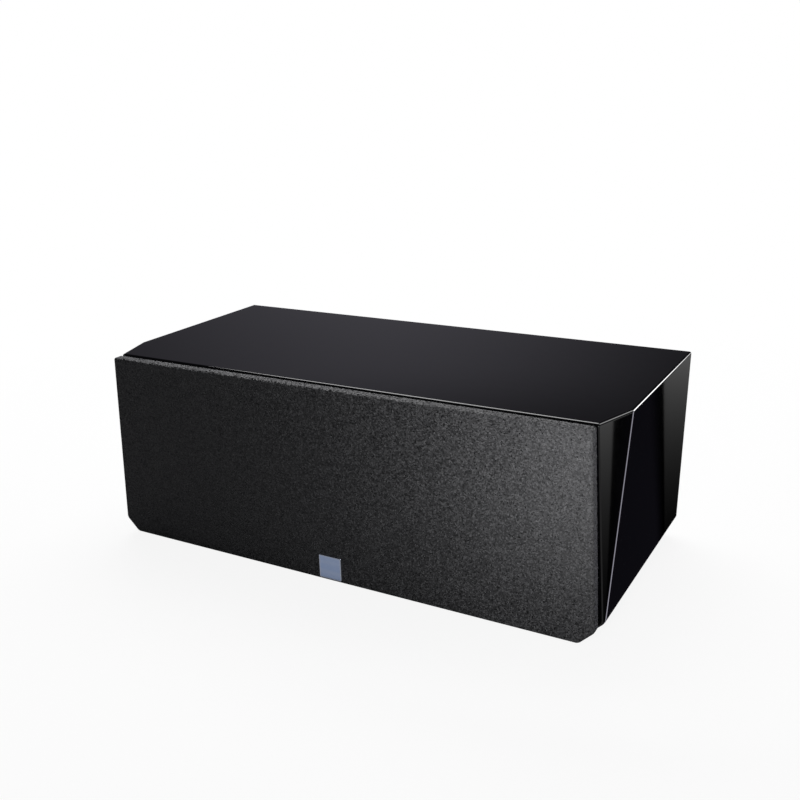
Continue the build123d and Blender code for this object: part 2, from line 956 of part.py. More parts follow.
def on_board(shape, x, y):
    return Pos(x, board_y + y, board_z + board_thickness + part_clearance) * shape


def crossover_coils():
    coil = ring(inductor_radius, inductor_bore, 0, inductor_height)
    reach = board_width / 2 - inductor_radius
    places = (-reach, 0, reach)
    return group(on_board(coil, x, -inductor_row) for x in places)


def crossover_capacitors():
    can = Pos(0, 0, capacitor_radius) * Rot(0, 90, 0) * Cylinder(capacitor_radius, capacitor_length)
    reach = board_width / 2 - capacitor_length / 2
    places = (-reach, 0, reach)
    return group(on_board(can, x, capacitor_row) for x in places)


def crossover_resistors():
    body = Pos(0, 0, resistor_width / 2) * Box(resistor_length, resistor_width, resistor_width)
    reach = board_width / 2 - resistor_length / 2
    y = board_depth / 2 - resistor_width / 2 - part_clearance
    return group(on_board(body, x, y) for x in (-reach, reach))


def build():
    """Every piece by its node name."""
    parts = {
        "cabinet_shell": cabinet_shell(),
        "front_baffle": front_baffle(),
        "back_panel": back_panel(),
        "cabinet_braces": group(cabinet_brace(side) for side in (-1, 1)),
        "midrange_chamber": midrange_chamber(),
        "damping_pads": group(damping_pad(side) for side in (-1, 1)),
        "rubber_feet": rubber_feet(),
        "grille_frame": grille_frame(),
        "grille_cloth": grille_cloth(),
        "grille_badge": grille_badge(),
        "grille_sockets": grille_sockets(),
        "driver_screws": driver_screws(),
        "terminal_cup": terminal_cup(),
        "terminal_screws": terminal_screws(),
        "crossover_board": crossover_board(),
        "crossover_coils": crossover_coils(),
        "crossover_capacitors": crossover_capacitors(),
        "crossover_resistors": crossover_resistors(),
    }
    for name, (driver, x, z) in zip(("left_woofer", "right_woofer", "midrange"), cone_places):
        for piece, shape in cone_driver(driver).items():
            parts[f"{name}_{piece}"] = facing_front(shape, x, front_y + driver.flange_thickness, z)
    for piece, shape in tweeter().items():
        parts[f"tweeter_{piece}"] = facing_front(shape, 0, front_y + tweeter_face_thickness, tweeter_z)
    for name, side in (("left_port", -1), ("right_port", 1)):
        parts[name] = facing_back(port(), side * woofer_x, back_y, middle_z)
    for name, side in (("red_post", 1), ("black_post", -1)):
        for piece, shape in binding_post().items():
            parts[f"{name}_{piece}"] = facing_back(shape, side * post_spacing / 2, post_floor_y, middle_z)
    return parts


os.makedirs("parts", exist_ok=True)
for node, shape in build().items():
    export_step(shape, f"parts/{node}.step")
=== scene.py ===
"""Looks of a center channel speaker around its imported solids. Metres; the front faces -Y and up is +Z."""

import json
import math

import bmesh
import bpy
from mathutils import Matrix, Vector
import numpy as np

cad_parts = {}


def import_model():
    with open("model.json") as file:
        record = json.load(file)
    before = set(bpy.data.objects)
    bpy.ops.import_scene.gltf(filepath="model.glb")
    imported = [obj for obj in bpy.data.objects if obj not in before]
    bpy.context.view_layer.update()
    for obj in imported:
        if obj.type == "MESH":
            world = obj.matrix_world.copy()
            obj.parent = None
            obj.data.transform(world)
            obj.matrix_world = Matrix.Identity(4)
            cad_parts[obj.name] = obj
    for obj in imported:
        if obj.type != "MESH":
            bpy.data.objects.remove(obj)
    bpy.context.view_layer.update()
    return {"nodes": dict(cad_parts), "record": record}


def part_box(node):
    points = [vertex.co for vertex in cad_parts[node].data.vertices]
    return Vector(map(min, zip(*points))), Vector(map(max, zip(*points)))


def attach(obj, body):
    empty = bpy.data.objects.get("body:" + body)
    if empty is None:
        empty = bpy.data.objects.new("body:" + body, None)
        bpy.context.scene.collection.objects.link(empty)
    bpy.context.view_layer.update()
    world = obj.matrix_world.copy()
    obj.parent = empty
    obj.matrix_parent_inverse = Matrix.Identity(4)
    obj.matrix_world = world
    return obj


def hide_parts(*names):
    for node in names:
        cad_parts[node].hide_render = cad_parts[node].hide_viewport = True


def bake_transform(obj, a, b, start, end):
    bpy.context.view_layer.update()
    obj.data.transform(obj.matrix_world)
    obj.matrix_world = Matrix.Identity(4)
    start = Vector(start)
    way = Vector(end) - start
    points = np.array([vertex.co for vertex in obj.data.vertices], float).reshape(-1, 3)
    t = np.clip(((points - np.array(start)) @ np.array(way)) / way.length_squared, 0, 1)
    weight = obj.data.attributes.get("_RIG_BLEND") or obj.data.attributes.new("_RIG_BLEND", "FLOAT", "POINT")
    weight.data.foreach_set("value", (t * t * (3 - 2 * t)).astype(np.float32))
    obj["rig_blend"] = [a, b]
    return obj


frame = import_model()

MM = 0.001

# Cabinet, from the solids' boxes and the sizes of its cut corners
cabinet_low, cabinet_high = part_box("cabinet_shell")
baffle_low, baffle_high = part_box("front_baffle")
half_width = cabinet_high.x
front_y = cabinet_low.y
back_y = cabinet_high.y
bottom_z = cabinet_low.z
top_z = cabinet_high.z
bottom_cut = 16 * MM
facet_width = 13 * MM
facet_depth = 41 * MM
facet_foot = 3.5 * MM
edge_radius = 2 * MM
facet_edge_offset = 1.3 * MM
small_edge = 1 * MM

# Grille
grille_low, grille_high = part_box("grille_cloth")
badge_low, badge_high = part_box("grille_badge")
grille_side_inset = 2.8 * MM
grille_end_inset = 0.5 * MM
grille_lean = 11.2 * MM
grille_corner = 6 * MM
grille_top_corner = 2 * MM
grille_edge = 2.2 * MM
cloth_thickness = 0.5 * MM
cloth_turn_in = 11 * MM
knit_pitch = 0.9 * MM
knit_lean = 1.5
knit_dark = (0.03, 0.03, 0.0315)
knit_light = (0.12, 0.12, 0.125)
knit_patch = 14 * MM
knit_patch_share = 0.2
badge_rim = 0.9 * MM
badge_sink = 0.15 * MM
badge_bevel = 0.25 * MM
badge_corner = 0.8 * MM
least_corner = 0.1 * MM

# Drivers: the lip of the surround and the radius of the voice coil
driver_sizes = {
    "left_woofer": (3 * MM, 12.8 * MM),
    "right_woofer": (3 * MM, 12.8 * MM),
    "midrange": (2.5 * MM, 7.8 * MM),
}
surround_thickness = 0.8 * MM
spider_seat = 3.5 * MM
spider_thickness = 0.6 * MM
spider_waves = 4

# Fill light and floor; the floor goes over into the backdrop between two distances
studio_width = 12
fill_colour = (0.9, 0.93, 1)
fill_strength = 0.075
floor_tone = 0.9
floor_bounce = 0.12
floor_fade = (0.35, 1.0)
floor_whiteness = 0.9

# Studio as the lacquer shows it; the walls are in parts of the tent's radius
tent_radius = 6.0
tent_colour = (0.93, 0.9, 1.05)
tent_strength = 0.025
wall_across = 0.47
wall_half_width = 0.42
wall_fade = (0.3, 0.42)
wall_strength = 0.16
floor_flag_stretch = (1, 0.6, 1)
floor_flag_start = 0.2
floor_flag_reach = 0.75
floor_flag_gain = 1.7
wedge_reach = 3.0
floor_card_gap = 20 * MM
floor_card_far = -1.6
floor_card_half = 1.2
floor_card_strength = 0.36
card_layer = 0.3 * MM

# Camera, fitted to the photograph's 800 x 800 frame
camera_eye = Vector((0.42132, -0.73896, 0.41363))
camera_azimuth = math.radians(29.805)
camera_elevation = math.radians(21.824)
camera_roll = math.radians(1.522)
camera_lens = 43.727
camera_sensor = 36
camera_shift = (0.00938, 0.07934)


# Mesh helpers


def add_object(name, mesh):
    piece = bpy.data.objects.new(name, mesh)
    bpy.context.scene.collection.objects.link(piece)
    return piece


def mesh_object(name, vertices, faces):
    mesh = bpy.data.meshes.new(name)
    mesh.from_pydata([tuple(v) for v in vertices], [], faces)
    mesh.validate()
    return add_object(name, mesh)


def apply_modifiers(piece):
    """Replaces the piece's mesh by its shape with all modifiers applied."""
    graph = bpy.context.evaluated_depsgraph_get()
    mesh = bpy.data.meshes.new_from_object(piece.evaluated_get(graph))
    piece.modifiers.clear()
    piece.data = mesh


def smooth(piece):
    for polygon in piece.data.polygons:
        polygon.use_smooth = True


def bridge(first, second, count):
    """Quads between two closed loops of vertices that start at two indices."""
    steps = [(step, (step + 1) % count) for step in range(count)]
    return [(first + a, first + b, second + b, second + a) for a, b in steps]


def lofted(name, loops, start_cap=True, end_cap=True):
    """A skin over closed loops that have the same number of points."""
    count = len(loops[0])
    vertices = [point for loop in loops for point in loop]
    faces = []
    for index in range(len(loops) - 1):
        faces += bridge(index * count, (index + 1) * count, count)
    if start_cap:
        faces.append(tuple(reversed(range(count))))
    if end_cap:
        last = (len(loops) - 1) * count
        faces.append(tuple(range(last, last + count)))
    return mesh_object(name, vertices, faces)


def turned(name, profile, centre, segments=96):
    """A closed (radius, forward) profile turned about an axis to the front, through a centre."""
    vertices = []
    for step in range(segments):
        angle = 2 * math.pi * step / segments
        across = Vector((math.cos(angle), 0, math.sin(angle)))
        vertices += [centre + across * radius - Vector((0, forward, 0)) for radius, forward in profile]
    count = len(profile)
    faces = []
    for step in range(segments):
        faces += bridge(step * count, (step + 1) % segments * count, count)
    piece = mesh_object(name, vertices, faces)
    smooth(piece)
    return piece


# Material helpers


def new_material(name):
    material = bpy.data.materials.new(name)
    material.use_nodes = True
    return material, material.node_tree, material.node_tree.nodes["Principled BSDF"]


def object_coordinates(tree, stretch=(1, 1, 1)):
    """The piece's own coordinates in metres, stretched along its axes."""
    coordinates = tree.nodes.new("ShaderNodeTexCoord")
    mapping = tree.nodes.new("ShaderNodeMapping")
    mapping.inputs["Scale"].default_value = stretch
    tree.links.new(coordinates.outputs["Object"], mapping.inputs["Vector"])
    return mapping.outputs["Vector"]


def noise(tree, size, detail=3.0, stretch=(1, 1, 1)):
    """Noise whose grains are about one size across, from 0 to 1."""
    texture = tree.nodes.new("ShaderNodeTexNoise")
    texture.inputs["Scale"].default_value = 1 / size
    texture.inputs["Detail"].default_value = detail
    tree.links.new(object_coordinates(tree, stretch), texture.inputs["Vector"])
    return texture.outputs["Fac"]


def ramp(tree, value, dark, light, low=0.3, high=0.7):
    """Colours from dark to light as a value goes from low to high."""
    node = tree.nodes.new("ShaderNodeValToRGB")
    node.color_ramp.elements[0].position = low
    node.color_ramp.elements[1].position = high
    node.color_ramp.elements[0].color = (*dark, 1)
    node.color_ramp.elements[1].color = (*light, 1)
    tree.links.new(value, node.inputs["Fac"])
    return node.outputs["Color"]


def spread(tree, value, low, high):
    """A value from 0 to 1 spread between two numbers."""
    node = tree.nodes.new("ShaderNodeMapRange")
    node.inputs["To Min"].default_value = low
    node.inputs["To Max"].default_value = high
    tree.links.new(value, node.inputs["Value"])
    return node.outputs["Result"]


def bump(tree, shader, height, depth):
    node = tree.nodes.new("ShaderNodeBump")
    node.inputs["Distance"].default_value = depth
    tree.links.new(height, node.inputs["Height"])
    tree.links.new(node.outputs["Normal"], shader.inputs["Normal"])


def math_node(tree, operation, first, second=None):
    node = tree.nodes.new("ShaderNodeMath")
    node.operation = operation
    for socket, value in zip(node.inputs, (first, second)):
        if isinstance(value, (int, float)):
            socket.default_value = value
        elif value is not None:
            tree.links.new(value, socket)
    return node.outputs["Value"]


def vector_math(tree, operation, first, second):
    node = tree.nodes.new("ShaderNodeVectorMath")
    node.operation = operation
    tree.links.new(first, node.inputs[0])
    if isinstance(second, tuple):
        node.inputs[1].default_value = second
    else:
        tree.links.new(second, node.inputs[1])
    return node.outputs["Vector"]


def mottled(name, dark, light, grain, roughness, relief=0.0, metallic=0.0, stretch=(1, 1, 1)):
    """A finish that varies with one noise in colour, roughness and relief; grain and relief are in mm."""
    material, tree, shader = new_material(name)
    grains = noise(tree, grain * MM, stretch=stretch)
    tree.links.new(ramp(tree, grains, dark, light), shader.inputs["Base Color"])
    tree.links.new(spread(tree, grains, *roughness), shader.inputs["Roughness"])
    shader.inputs["Metallic"].default_value = metallic
    if relief:
        bump(tree, shader, grains, relief * MM)
    return material


# Materials


def gloss_lacquer():
    """Deep black lacquer, polished, with a trace of waviness and fine haze."""
    material, tree, shader = new_material("gloss_lacquer")
    haze = noise(tree, 9 * MM, detail=5.0)
    colour = ramp(tree, haze, (0.0011, 0.0011, 0.0013), (0.0019, 0.0019, 0.0022))
    tree.links.new(colour, shader.inputs["Base Color"])
    tree.links.new(spread(tree, haze, 0.02, 0.05), shader.inputs["Roughness"])
    shader.inputs["IOR"].default_value = 1.5
    bump(tree, shader, noise(tree, 30 * MM, detail=1.0), 0.004 * MM)
    return material


def knit_loops(tree):
    """Small loops of yarn: a tone from 0 to 1 for each, and a direction in which it leans."""
    loops = tree.nodes.new("ShaderNodeTexVoronoi")
    loops.inputs["Scale"].default_value = 1 / knit_pitch
    tree.links.new(object_coordinates(tree), loops.inputs["Vector"])
    channels = tree.nodes.new("ShaderNodeSeparateColor")
    tree.links.new(loops.outputs["Color"], channels.inputs["Color"])
    lean = vector_math(tree, "SUBTRACT", loops.outputs["Color"], (0.5, 0.5, 0.5))
    return channels.outputs["Green"], vector_math(tree, "MULTIPLY", lean, (knit_lean,) * 3)


def grille_fabric():
    """Fine black acoustic knit: each loop has its own tone and lean, so the cloth sparkles in light."""
    material, tree, shader = new_material("grille_fabric")
    tone, lean = knit_loops(tree)
    loop_tone = math_node(tree, "MULTIPLY", tone, 1 - knit_patch_share)
    patch_tone = math_node(tree, "MULTIPLY", noise(tree, knit_patch), knit_patch_share)
    shade = math_node(tree, "ADD", loop_tone, patch_tone)
    tree.links.new(ramp(tree, shade, knit_dark, knit_light, 0.1, 0.9), shader.inputs["Base Color"])
    tree.links.new(spread(tree, tone, 0.5, 0.7), shader.inputs["Roughness"])
    shader.inputs["Specular IOR Level"].default_value = 0.25
    surface = tree.nodes.new("ShaderNodeNewGeometry")
    tree.links.new(vector_math(tree, "ADD", surface.outputs["Normal"], lean), shader.inputs["Normal"])
    return material


def badge_edge():
    """The bright rim of the badge."""
    return mottled("badge_edge", (0.6, 0.66, 0.82), (0.72, 0.76, 0.88), 4, (0.25, 0.35), metallic=0.9)


def wound_wire(name, dark, light, pitch):
    """Wire wound side by side, in fine ridges around the coil; the pitch is in millimetres."""
    material, tree, shader = new_material(name)
    bands = tree.nodes.new("ShaderNodeTexWave")
    bands.bands_direction = "Z"
    bands.inputs["Scale"].default_value = 1 / (3 * pitch * MM)
    bands.inputs["Distortion"].default_value = 0.4
    tree.links.new(object_coordinates(tree), bands.inputs["Vector"])
    tree.links.new(ramp(tree, bands.outputs["Fac"], dark, light), shader.inputs["Base Color"])
    tree.links.new(spread(tree, noise(tree, 3 * MM), 0.25, 0.4), shader.inputs["Roughness"])
    shader.inputs["Metallic"].default_value = 0.9
    bump(tree, shader, bands.outputs["Fac"], 0.2 * MM)
    return material


def circuit_board():
    """Green laminate with paler copper tracks under the mask."""
    material, tree, shader = new_material("circuit_board")
    cells = tree.nodes.new("ShaderNodeTexVoronoi")
    cells.distance = "MANHATTAN"
    cells.inputs["Scale"].default_value = 1 / (11 * MM)
    tree.links.new(object_coordinates(tree, (1, 1, 0.01)), cells.inputs["Vector"])
    colour = ramp(tree, cells.outputs["Distance"], (0.05, 0.2, 0.08), (0.012, 0.07, 0.028), 0.28, 0.34)
    tree.links.new(colour, shader.inputs["Base Color"])
    tree.links.new(spread(tree, noise(tree, 2 * MM), 0.3, 0.45), shader.inputs["Roughness"])
    return material


def grey(level):
    return (level, level, level)


def make_materials():
    """The finish of each material slot in the record.

    A row has a dark and a light colour, the grain in mm, the least and most roughness and, where needed,
    the relief in mm, the metallic share and the stretch of the grain.
    """
    rows = {
        "baffle_black": (grey(0.012), grey(0.02), 0.7, (0.5, 0.62), 0.05),
        "raw_board": ((0.26, 0.18, 0.11), (0.42, 0.31, 0.21), 1.2, (0.8, 0.95), 0.08),
        "damping_wool": ((0.4, 0.4, 0.37), (0.75, 0.75, 0.71), 3, (0.9, 1.0), 2),
        "foot_rubber": (grey(0.01), grey(0.022), 0.8, (0.6, 0.75), 0.06),
        "grille_board": (grey(0.01), (0.022, 0.021, 0.02), 0.9, (0.7, 0.85), 0.05),
        "badge_metal": ((0.47, 0.6, 0.9), (0.56, 0.67, 0.93), 6, (0.34, 0.46), 0, 0.9, (0.08, 1, 1)),
        "basket_metal": ((0.01, 0.01, 0.011), (0.022, 0.022, 0.024), 0.6, (0.38, 0.5), 0.04, 0.2),
        "cone_sheet": ((0.014, 0.014, 0.016), (0.045, 0.045, 0.05), 0.9, (0.3, 0.45), 0.03),
        "surround_rubber": (grey(0.01), grey(0.018), 1.5, (0.42, 0.55), 0.02),
        "spider_cloth": ((0.32, 0.22, 0.08), (0.55, 0.4, 0.18), 0.5, (0.8, 0.95), 0.1),
        "plate_steel": (grey(0.42), (0.6, 0.6, 0.61), 1.5, (0.3, 0.45), 0, 1.0),
        "ferrite": ((0.03, 0.03, 0.033), (0.07, 0.07, 0.075), 1, (0.6, 0.8), 0.1),
        "dome_aluminium": ((0.5, 0.5, 0.52), (0.66, 0.66, 0.68), 2, (0.28, 0.36), 0, 1.0),
        "face_plastic": (grey(0.012), grey(0.02), 0.5, (0.42, 0.55), 0.02),
        "port_plastic": (grey(0.01), grey(0.02), 0.6, (0.4, 0.55), 0.03),
        "post_metal": ((0.7, 0.5, 0.2), (0.85, 0.66, 0.3), 2, (0.15, 0.28), 0, 1.0),
        "cap_red": ((0.3, 0.008, 0.008), (0.45, 0.02, 0.018), 2, (0.16, 0.26)),
        "cap_black": (grey(0.008), grey(0.018), 2, (0.16, 0.26)),
        "capacitor_film": ((0.5, 0.36, 0.03), (0.66, 0.5, 0.08), 6, (0.2, 0.32)),
        "resistor_cement": ((0.5, 0.48, 0.43), (0.72, 0.7, 0.64), 0.8, (0.8, 0.95), 0.1),
        "screw_steel": (grey(0.012), grey(0.035), 0.8, (0.3, 0.45), 0.02, 0.7),
    }
    finishes = {name: mottled(name, *row) for name, row in rows.items()}
    finishes["gloss_lacquer"] = gloss_lacquer()
    finishes["grille_fabric"] = grille_fabric()
    finishes["coil_former"] = wound_wire("coil_former", (0.35, 0.2, 0.1), (0.72, 0.48, 0.28), 0.3)
    finishes["copper_wire"] = wound_wire("copper_wire", (0.4, 0.15, 0.05), (0.75, 0.36, 0.16), 0.9)
    finishes["circuit_board"] = circuit_board()
    return finishes


def dress(piece, slot, *finishes):
    piece.data.materials.clear()
    for finish in finishes:
        piece.data.materials.append(finish)


def dress_solids():
    """Gives each solid that still shows the finish of its own slot."""
    for row in frame["record"]["subparts"]:
        node = frame["nodes"][row["node"]]
        finish = materials[row["material_slot"]]
        if not node.material_slots:
            node.data.materials.append(finish)
        for slot in node.material_slots:
            slot.material = finish


# Cabinet


def front_edge_x(z):
    foot_z = bottom_z + facet_foot
    return half_width - facet_width * (z - foot_z) / (top_z - foot_z)


def cabinet_corners(side):
    """The eight outer corners of one half of the cabinet."""
    foot_z = bottom_z + facet_foot
    slope = facet_width / (top_z - foot_z)
    corner = half_width - bottom_cut
    shoulder_z = bottom_z + bottom_cut
    cut_z = (half_width + slope * foot_z - corner + bottom_z) / (1 + slope)
    facet_y = front_y + facet_depth * (shoulder_z - foot_z) / (top_z - foot_z)
    points = (
        (front_edge_x(top_z), front_y, top_z),
        (half_width, front_y + facet_depth, top_z),
        (front_edge_x(cut_z), front_y, cut_z),
        (half_width, facet_y, shoulder_z),
        (corner, front_y, bottom_z),
        (corner, back_y, bottom_z),
        (half_width, back_y, shoulder_z),
        (half_width, back_y, top_z),
    )
    return [Vector((side * x, y, z)) for x, y, z in points]


def block(name, low, high):
    mesh = bpy.data.meshes.new(name)
    body = bmesh.new()
    bmesh.ops.create_cube(body, size=1.0)
    placing = Matrix.Translation((low + high) / 2) @ Matrix.Diagonal((*(high - low), 1))
    bmesh.ops.transform(body, verts=body.verts, matrix=placing)
    body.to_mesh(mesh)
    body.free()
    return add_object(name, mesh)


def at_opening(point, near):
    return abs(point.x) < baffle_high.x + near and point.z > baffle_low.z - near


def edge_offset(first, second):
    """How wide the edge between two corners is rounded: most along the top and beside the cut corners."""
    near = 1e-5
    ends = (first, second)
    on_top = all(abs(point.z - top_z) < near for point in ends)
    at_rear = all(abs(point.y - back_y) < near for point in ends)
    if on_top and not at_rear:
        return edge_radius
    if any(at_opening(point, near) for point in ends) and not on_top:
        return 0
    tall = abs(second.z - first.z) > (top_z - bottom_z) / 2
    upright = abs(second.x - first.x) < near
    if tall and upright and not at_rear:
        return facet_edge_offset
    return small_edge


def cabinet_block():
    """The cabinet's outer form, with sharp edges and no opening."""
    mesh = bpy.data.meshes.new("cabinet_lacquer")
    body = bmesh.new()
    for point in cabinet_corners(-1) + cabinet_corners(1):
        body.verts.new(point)
    bmesh.ops.convex_hull(body, input=body.verts)
    bmesh.ops.dissolve_limit(body, angle_limit=math.radians(0.5), verts=body.verts, edges=body.edges)
    body.to_mesh(mesh)
    body.free()
    return add_object("cabinet_lacquer", mesh)


def open_through(piece):
    """Cuts the opening that holds the baffle and the rear panel through the cabinet."""
    reach = Vector((0, back_y - front_y, 0))
    far_corner = Vector((baffle_high.x, back_y, baffle_high.z))
    cutter = block("cabinet_cutter", baffle_low - reach, far_corner + reach)
    cut = piece.modifiers.new("opening", "BOOLEAN")
    cut.operation = "DIFFERENCE"
    cut.solver = "EXACT"
    cut.object = cutter
    apply_modifiers(piece)
    bpy.data.objects.remove(cutter)


def round_edges(piece):
    weights = piece.data.attributes.new("bevel_weight_edge", "FLOAT", "EDGE")
    for edge in piece.data.edges:
        first, second = (piece.data.vertices[index].co for index in edge.vertices)
        weights.data[edge.index].value = edge_offset(first, second) / edge_radius
    smooth(piece)
    rounding = piece.modifiers.new("rounding", "BEVEL")
    rounding.limit_method = "WEIGHT"
    rounding.width = edge_radius
    rounding.segments = 5
    rounding.harden_normals = True
    rounding.use_clamp_overlap = True
    apply_modifiers(piece)


def cabinet():
    """The lacquered cabinet: its edges are rounded so that they catch the light."""
    piece = cabinet_block()
    open_through(piece)
    round_edges(piece)
    dress(piece, "gloss_lacquer", materials["gloss_lacquer"])
    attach(piece, "cabinet")
    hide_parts("cabinet_shell")


# Grille


def rounded_loop(corners, steps=6):
    """Points of a closed outline in X and Z; each corner is (x, z, radius)."""
    points = []
    count = len(corners)
    for index, (x, z, radius) in enumerate(corners):
        here = Vector((x, z))
        before = (Vector(corners[index - 1][:2]) - here).normalized()
        after = (Vector(corners[(index + 1) % count][:2]) - here).normalized()
        half_angle = before.angle(after) / 2
        bisector = (before + after).normalized()
        middle = here + bisector * (radius / math.sin(half_angle))
        start = here + before * (radius / math.tan(half_angle)) - middle
        end = here + after * (radius / math.tan(half_angle)) - middle
        for step in range(steps + 1):
            share = step / steps
            spoke = (start * (1 - share) + end * share).normalized() * radius
            points.append(middle + spoke)
    return points


def shifted_corner(first, corner, last, inset):
    """A corner of an outline whose two edges are both moved inwards."""
    lines = []
    for a, b in ((first, corner), (corner, last)):
        along = (b - a).normalized()
        inward = Vector((-along.y, along.x)) * inset
        lines.append((a + inward, along))
    (p, d), (q, e) = lines
    reach = ((q - p).x * e.y - (q - p).y * e.x) / (d.x * e.y - d.y * e.x)
    return p + d * reach


def grille_corners():
    """Corners of the grille's outline, counter-clockwise, with their radii."""
    high_z = top_z - grille_end_inset
    low_z = bottom_z + grille_end_inset
    slope = grille_lean / (top_z - bottom_z)
    cut_reach = half_width - bottom_cut - grille_end_inset * 2 ** 0.5
    side_reach = front_edge_x(bottom_z) - grille_side_inset
    rise = (side_reach - cut_reach) / (1 + slope)
    right = [
        (Vector((cut_reach + grille_end_inset, low_z)), grille_corner),
        (Vector((cut_reach + rise, bottom_z + rise)), grille_corner),
        (Vector((side_reach - slope * (high_z - bottom_z), high_z)), grille_top_corner),
    ]
    left = [(Vector((-point.x, point.y)), radius) for point, radius in reversed(right)]
    return right + left


def grille_loop(inset, y):
    """The grille's outline, moved inwards, at a depth."""
    corners = grille_corners()
    count = len(corners)
    shifted = []
    for index, (corner, radius) in enumerate(corners):
        first = corners[index - 1][0]
        last = corners[(index + 1) % count][0]
        place = shifted_corner(first, corner, last, inset)
        shifted.append((place.x, place.y, max(radius - inset, least_corner)))
    return [Vector((point.x, y, point.y)) for point in rounded_loop(shifted)]


def grille_cloth():
    """Knit stretched over the frame: a flat face, soft front edges and a strip turned in behind."""
    face_y = grille_low.y
    rear_y = grille_high.y
    loops = [grille_loop(inset, rear_y + cloth_thickness) for inset in (cloth_turn_in, cloth_thickness)]
    loops += [grille_loop(0, rear_y), grille_loop(0, rear_y - cloth_thickness)]
    turns = 6
    for step in range(turns + 1):
        angle = math.pi / 2 * step / turns
        inset = grille_edge * (1 - math.cos(angle))
        loops.append(grille_loop(inset, face_y + grille_edge * (1 - math.sin(angle))))
    piece = lofted("grille_cloth_knit", loops, start_cap=False)
    smooth(piece)
    skin = piece.modifiers.new("thickness", "SOLIDIFY")
    skin.thickness = cloth_thickness
    skin.offset = -1
    apply_modifiers(piece)
    dress(piece, "grille_fabric", materials["grille_fabric"])
    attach(piece, "grille")
    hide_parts("grille_cloth")


def badge_loop(inset, y):
    radius = max(badge_corner - inset, least_corner)
    low_x, high_x = badge_low.x + inset, badge_high.x - inset
    low_z, high_z = badge_low.z + inset, badge_high.z - inset
    corners = ((high_x, low_z), (high_x, high_z), (low_x, high_z), (low_x, low_z))
    return [Vector((p.x, y, p.y)) for p in rounded_loop([(x, z, radius) for x, z in corners], steps=4)]


def badge():
    """A plain plate with a bright bevelled rim and a sunken field."""
    face_y = badge_low.y
    loops = [
        badge_loop(0, badge_high.y),
        badge_loop(0, face_y + badge_bevel),
        badge_loop(badge_bevel, face_y),
        badge_loop(badge_rim - badge_sink, face_y),
        badge_loop(badge_rim, face_y + badge_sink),
    ]
    piece = lofted("grille_badge_plate", loops)
    dress(piece, "badge_metal", badge_edge(), materials["badge_metal"])
    field = piece.data.polygons[-1]
    field.material_index = 1
    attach(piece, "grille")
    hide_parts("grille_badge")


# Driver skins that flex


def flex(piece, body, centre, inner, outer):
    """Lets a ring follow the moving body at its inner radius and the cabinet at its outer one."""
    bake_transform(piece, "cabinet", body, start=centre, end=centre - Vector((0, outer, 0)))
    weights = piece.data.attributes["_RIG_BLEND"]
    for vertex in piece.data.vertices:
        across = Vector((vertex.co.x - centre.x, vertex.co.z - centre.z)).length
        share = min(1, max(0, (outer - across) / (outer - inner)))
        weights.data[vertex.index].value = share * share * (3 - 2 * share)


def arch(inner, outer, base, height, steps=16):
    """Points of a half roll from its inner to its outer foot."""
    points = []
    middle = (inner + outer) / 2
    half = (outer - inner) / 2
    for step in range(steps + 1):
        angle = math.pi * (1 - step / steps)
        points.append((middle + half * math.cos(angle), base + height * math.sin(angle)))
    return points


def surround(driver, lip):
    """A rubber roll between the basket and the cone, on the place of its solid."""
    node = f"{driver}_surround"
    cone = f"{driver}_cone"
    low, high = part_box(node)
    cone_low, cone_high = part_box(cone)
    centre = Vector(((low.x + high.x) / 2, high.y, (low.z + high.z) / 2))
    outer_edge = (high.x - low.x) / 2
    outer = outer_edge - lip
    inner = (cone_high.x - cone_low.x) / 2
    inner_edge = inner - lip
    thickness = surround_thickness
    height = high.y - low.y - thickness
    over = arch(inner, outer, thickness, height)
    under = arch(inner + thickness, outer - thickness, 0, height)
    profile = [(inner_edge, 0), (inner_edge, thickness), *over, (outer_edge, thickness), (outer_edge, 0)]
    profile += reversed(under)
    piece = turned(f"{node}_roll", profile, centre)
    dress(piece, "surround_rubber", materials["surround_rubber"])
    flex(piece, cone, centre, inner, outer)
    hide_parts(node)


def spider(driver, coil_radius):
    """The corrugated cloth disc that centres the voice coil."""
    node = f"{driver}_spider"
    low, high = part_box(node)
    centre = Vector(((low.x + high.x) / 2, high.y, (low.z + high.z) / 2))
    outer = (high.x - low.x) / 2
    swing = (high.y - low.y - spider_thickness) / 2
    reach = outer - spider_seat - coil_radius
    steps = spider_waves * 8
    under = []
    for step in range(steps + 1):
        share = step / steps
        height = swing * (1 - math.cos(2 * math.pi * spider_waves * share))
        under.append((coil_radius + reach * share, height))
    under.append((outer, 0))
    over = [(radius, height + spider_thickness) for radius, height in under]
    piece = turned(f"{node}_disc", under + list(reversed(over)), centre, segments=64)
    dress(piece, "spider_cloth", materials["spider_cloth"])
    flex(piece, f"{driver}_cone", centre, coil_radius, outer - spider_seat)
    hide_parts(node)


def driver_skins():
    for driver, (lip, coil_radius) in driver_sizes.items():
        surround(driver, lip)
        spider(driver, coil_radius)


# Studio


def emission(tree, colour, strength):
    node = tree.nodes.new("ShaderNodeEmission")
    node.inputs["Color"].default_value = (*colour, 1)
    node.inputs["Strength"].default_value = strength
    return node


def seen_rays(tree):
    """1 for rays that show the backdrop: straight from the camera, or by way of metal or glass."""
    path = tree.nodes.new("ShaderNodeLightPath")
    shown = math_node(tree, "MAXIMUM", path.outputs["Is Camera Ray"], path.outputs["Is Glossy Ray"])
    return math_node(tree, "MAXIMUM", shown, path.outputs["Is Transmission Ray"])


